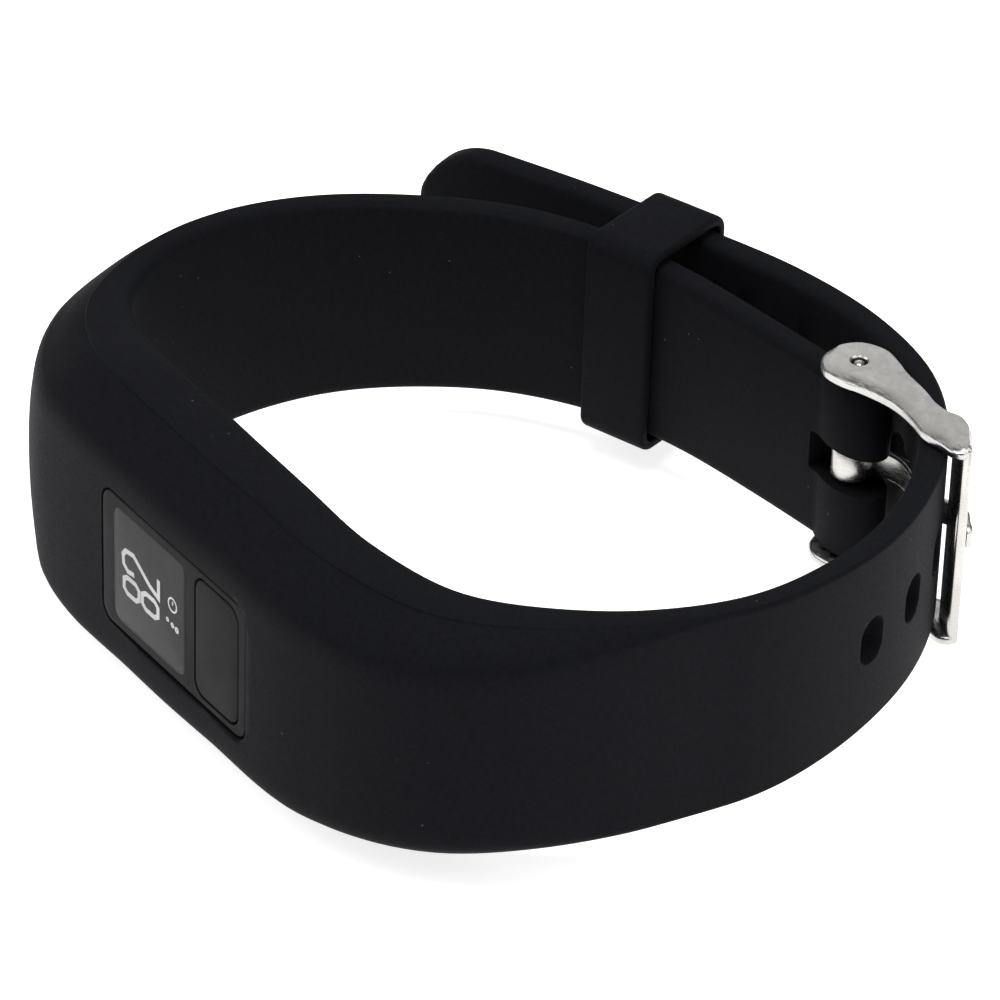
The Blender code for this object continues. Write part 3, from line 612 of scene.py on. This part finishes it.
def tongue_strip(clearance=0.0):
    """The pin as a rounded, tapering strip along its route, or the room that it needs round it."""
    line, along = smooth_line(tongue_route(), 60)
    slope = np.gradient(line, axis=0)
    rings = []
    for point, way, distance in zip(line, slope, along):
        part = distance / along[-1]
        to_tip = min((along[-1] - distance) / TONGUE_BLUNT, 1.0)
        blunt = math.sqrt(max(1 - (1 - to_tip) ** 2, 0.04))
        side = Vector((way[1], -way[0])).normalized()
        half = (TONGUE_WIDTH * (1 - TONGUE_TAPER * part) - 0.1) / 2
        half = half * (0.55 + 0.45 * blunt) + clearance / 2
        thick = TONGUE_THICKNESS / 2 * (0.4 + 0.6 * blunt) + clearance
        ring = []
        for out, up in rounded_rectangle((thick, half), min(0.24, thick * 0.7), 5):
            ring.append((point[0] + side.x * out, point[1] + side.y * out, up))
        rings.append(ring)
    return loft(rings)


def band_cutters():
    """The tongue's notch and passage, the bar's bore, the module's pocket and its window."""
    bore = lathe([(TUBE_RADIUS + 0.1, -THROUGH), (TUBE_RADIUS + 0.1, THROUGH)], BAR_AXIS)
    notch_half = ((NOTCH_ENDS[1] - NOTCH_ENDS[0]) / 2, NOTCH_HEIGHT / 2)
    notch_levels = [(BAR_AXIS.y + face, 0.0) for face in NOTCH_FACES]
    notch = plate(notch_half, 0.3, notch_levels, (BAR_AXIS.x + sum(NOTCH_ENDS) / 2, 0.0))
    cavity_half = [side + POCKET_GAP for side in MODULE_HALF]
    cavity = plate(cavity_half, MODULE_CORNER + POCKET_GAP, [(POCKET_LIP, 0.0), (THROUGH, 0.0)])
    window_half = [side + POCKET_GAP for side in BOSS_HALF]
    face_y = ROUTE.at(0)[0].y - POCKET_THICKNESS
    window_levels = [(face_y - y, inset) for y, inset in reversed(SOFT_LIP)] + [(3.0, 0.0)]
    window = plate(window_half, BOSS_CORNER + POCKET_GAP, window_levels)
    shapes = {
        "bar_bore": bore, "tongue_notch": notch, "module_cavity": cavity, "window_cut": window,
        "tongue_passage": tongue_strip(TONGUE_PASSAGE_GAP),
    }
    cutters = [object_from(shape, name) for name, shape in shapes.items()]
    return cutters + [pin_hole(index) for index in range(HOLE_COUNT)]


def make_band():
    stations = list(np.arange(ROUTE.start, ROUTE.end - TAIL_RADIUS, STATION_PITCH))
    turns = np.radians(np.linspace(0, 90, 22))
    stations += [ROUTE.end - TAIL_RADIUS * math.cos(turn) for turn in turns]
    rings = []
    for distance in stations:
        point, _, normal = ROUTE.at(distance)
        lift = read_keys(LIFT_KEYS, distance)
        rings.append([(*(point + normal * out), up + lift) for out, up in section(distance)])
    band = object_from(loft(rings), "band_skin")

    long_axis, short_axis = LOOP_SEMI_AXES
    half = STRAP_HALF_WIDTH
    ends = [(short_axis - 0.35, half), (short_axis - 0.1, half - 0.1), (short_axis, half - 0.35)]
    loop = lathe([(r, -z) for r, z in ends] + [(r, z) for r, z in reversed(ends)], segments=64)
    bmesh.ops.scale(loop, vec=(long_axis / short_axis, 1, 1), verts=loop.verts)
    bmesh.ops.translate(loop, vec=(*BAR_AXIS, 0), verts=loop.verts)
    combine(band, [object_from(loop, "loop_boss")], "UNION")

    combine(band, band_cutters())
    complete(band, "strap", "silicone", ["band"])


def make_keeper():
    """A moulded loop whose edges are rounded: a small section carried round the opening."""
    end = KEEPER_LENGTH / 2
    corners = ((-end, 0.0), (end, 0.0), (end, KEEPER_WALL), (-end, KEEPER_WALL))
    box = [Vector(corner) for corner in corners]
    turn = Matrix.Rotation(KEEPER_ANGLE, 2)
    rings = []
    for along, out in rounded(box, [0.2, 0.2, 0.38, 0.38], 5):
        half = [side / 2 + out for side in KEEPER_OPENING]
        ring = []
        for across, up in rounded_rectangle(half, 0.8 + out, 9):
            plan = KEEPER_MIDDLE + turn @ Vector((along, across))
            ring.append((*plan, KEEPER_LIFT + up))
        rings.append(ring)
    complete(object_from(loft(rings, closed=True), "keeper"), "keeper", "silicone", ["keeper_loop"])


# ---------------------------------------------------------------- buckle and spring bar

# The arm's outline in plan from the bar's axis: round ear, neck, and the corner of the front bar
ARM_OUTLINE = (
    (-2.9, 0.0), (-2.3, 1.85), (-0.2, 2.95), (1.6, 2.75), (3.1, 2.35), (6.2, 1.9), (8.15, 1.5),
    (9.3, 1.55), (10.4, 1.95), (11.6, 1.75), (13.2, 0.75), (14.45, -0.35), (14.6, -1.1), (13.9, -1.7),
    (12.9, -1.75), (10.7, -1.95), (8.9, -1.6), (7.4, -1.4), (5.9, -1.4), (4.7, -1.6), (2.9, -2.1),
    (1.3, -2.75), (-0.5, -2.95), (-2.1, -2.05),
)


def closed_line(corners, count):
    """Points of the smooth closed curve through the corners."""
    points, along = smooth_line(corners[-3:] + corners + corners[:3], ROUTE_SAMPLES)
    away = np.linalg.norm(points - np.array(corners[0]), axis=1)
    middle = ROUTE_SAMPLES // 2
    start, end = np.argmin(away[:middle]), middle + np.argmin(away[middle:])
    wanted = np.linspace(along[start], along[end], count, endpoint=False)
    return np.stack([np.interp(wanted, along, points[:, k]) for k in (0, 1)], axis=1)


def arm_rings(side):
    """One flat arm, as its outline at each height, with a broad bevel on its edge of lower Y."""
    outline = closed_line(ARM_OUTLINE, 150)
    slope = np.roll(outline, -1, axis=0) - np.roll(outline, 1, axis=0)
    inward = np.stack([slope[:, 1], -slope[:, 0]], axis=1)
    inward /= np.linalg.norm(inward, axis=1)[:, None]
    low, high = FRAME_INNER_HALF, FRAME_INNER_HALF + FRAME_SHEET
    chamfered = np.clip(inward[:, 1] * 1.4, 0, 1)[:, None]
    # Height, how far the edge stands in, and how much further where it is bevelled
    profile = ((low, 0.22, 0), (low + 0.07, 0.07, 0), (low + 0.2, 0.0, 0), (high - 0.34, 0.0, 0),
               (high - 0.25, 0.05, 0.03), (high - 0.2, 0.12, 0.1), (high - 0.1, 0.16, 0.45),
               (high - 0.02, 0.22, 0.75), (high, 0.35, 0.85))
    rings = []
    for z, inset, more in profile:
        plan = outline + inward * (inset + more * chamfered)
        rings.append([(BAR_AXIS.x + x, BAR_AXIS.y + y, side * z) for x, y in plan])
    return rings


def front_bar_rings(high):
    """The flat bar in front of the strap, as its section at each height."""
    along = Vector((math.cos(FRONT_BAR_ANGLE), math.sin(FRONT_BAR_ANGLE)))
    across = Vector((-along.y, along.x))
    half = (FRONT_BAR_WIDTH / 2, FRAME_SHEET / 2)
    ends = ((0.02, 0.3), (0.1, 0.12), (0.3, 0.0))
    levels = [(down - high, inset) for down, inset in ends]
    levels += [(high - down, inset) for down, inset in reversed(ends)]
    rings = []
    for z, inset in levels:
        ring = []
        for a, b in rounded_rectangle((half[0] - inset, half[1] - inset), 0.3 - inset * 0.9, 5):
            ring.append((*(FRONT_BAR_MIDDLE + along * a + across * b), z))
        rings.append(ring)
    return rings


def make_buckle():
    """Two flat arms with rounded edges, and the front bar that joins them."""
    high = FRAME_INNER_HALF + FRAME_SHEET
    sides = {"arm_upper": 1, "arm_lower": -1}
    arms = [object_from(loft(arm_rings(side)), name) for name, side in sides.items()]
    bar = object_from(loft(front_bar_rings(high)), "buckle")
    combine(bar, arms, "UNION")
    mouth = [(EAR_HOLE + 0.22, -high - 0.1), (EAR_HOLE, -high + 0.12),
             (EAR_HOLE, high - 0.12), (EAR_HOLE + 0.22, high + 0.1)]
    combine(bar, [object_from(lathe(mouth, BAR_AXIS), "ear_holes")])
    complete(bar, "buckle", "steel", ["buckle_frame"])


def make_tongue():
    """A rounded strip wrapped round the spring bar whose free end lies on the front bar."""
    tongue = object_from(tongue_strip(), "tongue")
    half = TONGUE_WIDTH / 2
    ends = [(TONGUE_WRAP - 0.2, half), (TONGUE_WRAP - 0.06, half - 0.06), (TONGUE_WRAP, half - 0.2)]
    wrap = lathe([(r, -z) for r, z in ends] + [(r, z) for r, z in reversed(ends)], BAR_AXIS, segments=40)
    combine(tongue, [object_from(wrap, "tongue_wrap")], "UNION")
    bore = lathe([(TONGUE_BORE, -3), (TONGUE_BORE, 3)], BAR_AXIS, segments=32)
    combine(tongue, [object_from(bore, "tongue_bore")])
    complete(tongue, "tongue", "steel", ["buckle_tongue"])


# A sprung tip from its end in the tube out to its point, as (radius, height)
TIP_PROFILE = (
    (0.4, 4.9), (0.45, 4.95), (0.45, 7.38), (0.68, 7.4), (0.72, 7.44), (0.72, 7.58),
    (0.68, 7.62), (0.45, 7.64), (0.45, 8.6), (0.4, 8.76), (0.25, 8.85),
)


def make_spring_bar():
    """A thin barrel with rolled ends, and the two shouldered tips that slide in it."""
    half, roll = TUBE_HALF, 0.12
    ends = [(TUBE_RADIUS - roll, half), (TUBE_RADIUS, half - roll)]
    barrel = lathe([(r, -z) for r, z in ends] + [(r, z) for r, z in reversed(ends)], BAR_AXIS)
    tube = object_from(barrel, "bar_barrel")
    bore = lathe([(TUBE_BORE, -THROUGH), (TUBE_BORE, THROUGH)], BAR_AXIS)
    combine(tube, [object_from(bore, "barrel_bore")])
    complete(tube, "strap", "steel", ["spring_bar_tube"])
    for name, side in (("upper", 1), ("lower", -1)):
        tip = lathe([(r, side * z) for r, z in TIP_PROFILE], BAR_AXIS, segments=28)
        complete(object_from(tip, f"tip_{name}"), f"bar_tip_{name}", "steel", [f"spring_bar_tip_{name}"])


# ---------------------------------------------------------------- tracker module


def make_shell():
    """The front case: a tray whose raised face has a soft rim round the display and the button."""
    case = plate(MODULE_HALF, MODULE_CORNER, soft_levels(*SHELL_DEPTHS, 0.15))
    shell = object_from(case, "case_front")
    boss_half = [side + FACE_FILL for side in BOSS_HALF]
    boss = plate(boss_half, BOSS_CORNER + FACE_FILL, soft_levels(0.0, BOSS_DEPTH, 0.12, False))
    combine(shell, [object_from(boss, "face_boss")], "UNION")
    inside = [side - MODULE_WALL for side in MODULE_HALF]
    hollow = object_from(plate(inside, 1.4, [(TRAY_FLOOR, 0.0), (THROUGH, 0.0)]), "shell_hollow")
    post = [(POST_RADIUS, -2), (POST_RADIUS, THROUGH + 2)]
    posts = [lathe(post, place, "Y", 24) for place in SCREW_PLACES]
    combine(hollow, [object_from(shape, f"post_{k}") for k, shape in enumerate(posts)])
    bore = [(POST_BORE, 4.0), (POST_BORE, THROUGH)]
    bores = [lathe(bore, place, "Y", 20) for place in SCREW_PLACES]
    lens_half = [LENS_HALF + OPENING_GAP] * 2
    button_half = [side + OPENING_GAP for side in BUTTON_HALF]
    mouth = [(-0.1, -0.07), (0.0, -0.03), (0.06, 0.0), (3.0, 0.0)]
    through = [(-0.1, 0.0), (3.0, 0.0)]
    lens_opening = plate(lens_half, 1.22, through, (LENS_X, 0))
    button_opening = plate(button_half, 1.3, mouth, (BUTTON_X, 0))
    shapes = bores + [lens_opening, button_opening]
    cuts = [object_from(shape, f"cut_{k}") for k, shape in enumerate(shapes)]
    combine(shell, [hollow] + cuts)
    complete(shell, "module", "module_plastic", ["module_shell"])


def make_lens():
    """The display's face, flush with the case and filling its opening."""
    half = LENS_HALF + OPENING_GAP - 0.02
    lens = plate((half, half), 1.2, soft_levels(0.0, LENS_DEPTH, 0.02), (LENS_X, 0))
    complete(object_from(lens, "display_face"), "module", "display_window", ["display_lens"])


def make_button():
    """The button's cap, whose flange keeps it in behind the case."""
    half, middle = BUTTON_HALF, (BUTTON_X, 0)
    levels = [(0.0, 0.16), (0.02, 0.07), (0.07, 0.01), (0.14, 0.0), (BUTTON_DEPTH, 0.0)]
    cap = object_from(plate(half, 1.25, levels, middle), "button")
    flange_levels = soft_levels(*BUTTON_FLANGE_DEPTHS, 0.06)
    flange = plate((half[0] + 0.4, half[1] + 0.5), 1.2, flange_levels, middle)
    combine(cap, [object_from(flange, "button_flange")], "UNION")
    complete(cap, "button", "module_plastic", ["button_cap"])


# Segments of the reading and a small dial, from the display's left edge and down from its top
SEGMENT_STROKE = 0.42
DIGIT_TWO = ((2.8, 4.85), (1.9, 5.0), (1.3, 4.6), (1.2, 3.8), (1.6, 3.3), (2.7, 3.15), (5.0, 4.5),
             (6.3, 4.95), (6.3, 3.3))
EIGHT_LOOPS = ((2.42, 6.3, 1.08, 0.72), (5.1, 6.25, 1.12, 0.72))
DIAL = (8.3, 4.4, 0.58)
DOTS = ((7.6, 6.05, 0.13), (8.3, 6.2, 0.15), (8.9, 6.3, 0.18))
INK_TOP, INK_BACK = -0.012, 0.3


def ribbon(points, stroke, closed):
    """A thin raised line on the display, along (right, down) points."""
    points = [Vector(p) for p in points]
    rings = []
    for k, point in enumerate(points):
        ahead = points[(k + 1) % len(points)] if closed or k + 1 < len(points) else point
        behind = points[k - 1] if closed or k else point
        ways = [(b - a).normalized() for a, b in ((behind, point), (point, ahead)) if (b - a).length > 0]
        way = sum(ways, Vector((0, 0))).normalized()
        side = Vector((-way.y, way.x))
        widen = 1 / max(abs(side.dot(Vector((-ways[0].y, ways[0].x)))), 0.5)
        near, far = (point + side * s * stroke / 2 * widen for s in (1, -1))
        rings.append([
            (LENS_X - LENS_HALF + p.x, y, LENS_HALF - p.y)
            for p, y in ((near, INK_TOP), (far, INK_TOP), (far, INK_BACK), (near, INK_BACK))
        ])
    return loft(rings, closed)


def circle(middle, radius, count):
    u, v = middle
    turns = np.linspace(0, 2 * math.pi, count, endpoint=False)
    return [(u + radius * math.cos(turn), v + radius * math.sin(turn)) for turn in turns]


def octagon(middle, half, cut=0.55):
    """A rectangle with cut corners, as the segments of a large figure make."""
    (u, v), (a, b) = middle, half
    return [(u + sx * x, v + sy * y) for sx, sy, x, y in (
        (1, 1, a, b * cut), (1, 1, a * cut, b), (-1, 1, a * cut, b), (-1, 1, a, b * cut),
        (-1, -1, a, b * cut), (-1, -1, a * cut, b), (1, -1, a * cut, b), (1, -1, a, b * cut),
    )]


def make_reading():
    """The reading and the small marks beside it, as thin white segments on the display."""
    lines = [("digit_two", DIGIT_TWO, SEGMENT_STROKE, False)]
    for k, (u, v, *half) in enumerate(EIGHT_LOOPS):
        lines.append((f"digit_eight_{k + 1}", octagon((u, v), half), SEGMENT_STROKE, True))
    u, v, radius = DIAL
    lines.append(("dial_ring", circle((u, v), radius, 16), 0.16, True))
    lines.append(("dial_hand", ((u, v), (u + 0.05, v - 0.34)), 0.14, False))
    for k, (u, v, radius) in enumerate(DOTS):
        lines.append((f"dot_{k + 1}", circle((u, v), radius, 10), radius * 1.2, True))
    for name, points, stroke, closed in lines:
        mark = object_from(ribbon(points, stroke, closed), name)
        complete(mark, "module", "display_window", material=DIGIT_INK)


# A cover screw from its point to its head, as (radius, depth)
SCREW_PROFILE = (
    (0.25, 5.0), (0.4, 5.2), (0.4, 8.3), (0.8, 8.3), (0.85, 8.35), (0.85, 8.5), (0.7, 8.58), (0.4, 8.6),
)
SCREW_SLOT_HALF = (0.5, 0.12)


def make_back():
    """The steel cover and its four cross-slotted screws."""
    cover_shape = plate(MODULE_HALF, MODULE_CORNER, soft_levels(*COVER_DEPTHS, 0.14))
    cover = object_from(cover_shape, "cover_plate")
    sink = [(0.95, 8.0), (0.95, 8.55), (1.05, 8.7)]
    sinks = [lathe(sink, place, "Y") for place in SCREW_PLACES]
    combine(cover, [object_from(shape, f"sink_{k}") for k, shape in enumerate(sinks)])
    complete(cover, "module", "steel", ["back_cover"])
    slot_levels = [(8.42, 0.0), (9.0, 0.0)]
    for number, place in enumerate(SCREW_PLACES, 1):
        screw = object_from(lathe(SCREW_PROFILE, place, "Y", 28), f"screw_{number}")
        halves = (SCREW_SLOT_HALF, SCREW_SLOT_HALF[::-1])
        slots = [plate(half, 0.05, slot_levels, place, 2) for half in halves]
        combine(screw, [object_from(slot, f"slot_{number}_{j}") for j, slot in enumerate(slots)])
        complete(screw, "module", "steel", [f"cover_screw_{number}"])


INNER_NODES = {
    "gasket_foam": ("lens_gasket", "lcd_connector"),
    "lcd_glass": ("lcd_panel",),
    "module_plastic": ("lcd_frame", "battery_carrier"),
    "circuit_board": ("pcb",),
    "chip_plastic": ("main_chip", "radio_chip", "accelerometer", "antenna"),
    "cell_steel": ("crystal", "battery_1", "battery_2"),
    "contact_brass": ("dome_switch", "battery_terminal_1", "battery_terminal_2", "battery_bridge"),
    "silicone": ("button_pad", "cover_gasket"),
    "steel": ("spring_bar_spring",),
}


def soften_edges(node, name):
    """A small rounding on a CAD node's edges, in metres, no more than a fifth of its thinnest side."""
    low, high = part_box(name)
    weld = node.modifiers.new("weld", "WELD")
    weld.merge_threshold = 0.000002
    bevel = node.modifiers.new("edges", "BEVEL")
    bevel.width = min(0.00006, min(high - low) * 0.2)
    bevel.segments = 2
    bevel.limit_method = "ANGLE"
    bevel.angle_limit = math.radians(40)


def dress_inner_nodes():
    """The CAD nodes that stay get their finishes, and rounded edges except on the round wire."""
    for slot, names in INNER_NODES.items():
        for name in names:
            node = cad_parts[name]
            node.data.materials.clear()
            node.data.materials.append(FINISHES[slot])
            if name != "spring_bar_spring":
                soften_edges(node, name)


# ---------------------------------------------------------------- studio

# Where the photo was taken from: the point looked at and its distance are in millimetres
VIEW_TARGET = Vector((0.66, 28.87, 0.57))
VIEW_DISTANCE = 458.5
VIEW_AZIMUTH = math.radians(54.93)
VIEW_ELEVATION = math.radians(32.8)
VIEW_ROLL = math.radians(1.94)
FOCAL_LENGTH = 215.72
FLOOR_HALF = 1.5
WORLD_STRENGTH = 0.14
# Each softbox: azimuth and elevation in degrees, distance and side in metres, power in watts
SOFTBOXES = {
    "left_softbox": (-40, 38, 0.55, 0.4, 1.0),
    "right_softbox": (125, 35, 0.55, 0.4, 0.95),
    "back_softbox": (235, 33, 0.8, 0.5, 0.6),
    "top_softbox": (60, 84, 0.6, 0.35, 2.8),
}


def direction_to(azimuth, elevation):
    """The unit vector at an angle round from the module's face towards +X, and above the floor."""
    level = math.cos(elevation)
    return Vector((math.sin(azimuth) * level, -math.cos(azimuth) * level, math.sin(elevation)))


def make_camera():
    away = direction_to(VIEW_AZIMUTH, VIEW_ELEVATION)
    level = Vector((math.cos(VIEW_AZIMUTH), math.sin(VIEW_AZIMUTH), 0))
    upright = away.cross(level)
    right = level * math.cos(VIEW_ROLL) + upright * math.sin(VIEW_ROLL)
    up = upright * math.cos(VIEW_ROLL) - level * math.sin(VIEW_ROLL)
    camera = bpy.data.objects.new("camera", bpy.data.cameras.new("camera"))
    camera.data.lens = FOCAL_LENGTH
    camera.data.clip_start = 0.01
    camera.matrix_world = Matrix.Translation(ORIGIN + (VIEW_TARGET + away * VIEW_DISTANCE) * MM) @ (
        Matrix((right, up, away)).transposed().to_4x4()
    )
    bpy.context.scene.collection.objects.link(camera)
    bpy.context.scene.camera = camera


def add_softbox(name, azimuth, elevation, distance, size, power):
    """A square area light aimed at the band."""
    lamp = bpy.data.lights.new(name, "AREA")
    lamp.size = size
    lamp.energy = power
    light = bpy.data.objects.new(name, lamp)
    away = direction_to(math.radians(azimuth), math.radians(elevation))
    light.location = ORIGIN + VIEW_TARGET * MM + away * distance
    light.rotation_euler = away.to_track_quat("Z", "Y").to_euler()
    bpy.context.scene.collection.objects.link(light)


def make_floor():
    """A white floor that also glows a little, so that it stays white."""
    look = Finish("white_floor", Emission_Strength=0.8, Emission_Color=(1, 1, 1, 1))
    paper = look.mix(look.noise(3), (0.93, 0.93, 0.93), (0.95, 0.95, 0.95))
    material = look.finish(paper, look.spread(look.noise(40), 0.85, 0.9), look.noise(2500), 0.000005)
    shape = bmesh.new()
    bmesh.ops.create_grid(shape, x_segments=1, y_segments=1, size=FLOOR_HALF)
    mesh = bpy.data.meshes.new("floor")
    shape.to_mesh(mesh)
    shape.free()
    mesh.materials.append(material)
    floor = bpy.data.objects.new("floor", mesh)
    floor.location.z = cad_bounds[0][2] - 0.0001
    bpy.context.scene.collection.objects.link(floor)


def make_studio():
    make_floor()
    for name, place in SOFTBOXES.items():
        add_softbox(name, *place)
    world = bpy.data.worlds.new("studio")
    world.use_nodes = True
    background = world.node_tree.nodes["Background"]
    background.inputs["Color"].default_value = (0.96, 0.98, 1.0, 1.0)
    background.inputs["Strength"].default_value = WORLD_STRENGTH
    bpy.context.scene.world = world
    bpy.context.scene.view_settings.view_transform = "Standard"


make_band()
make_keeper()
make_buckle()
make_tongue()
make_spring_bar()
make_shell()
make_lens()
make_reading()
make_button()
make_back()
dress_inner_nodes()
make_camera()
make_studio()
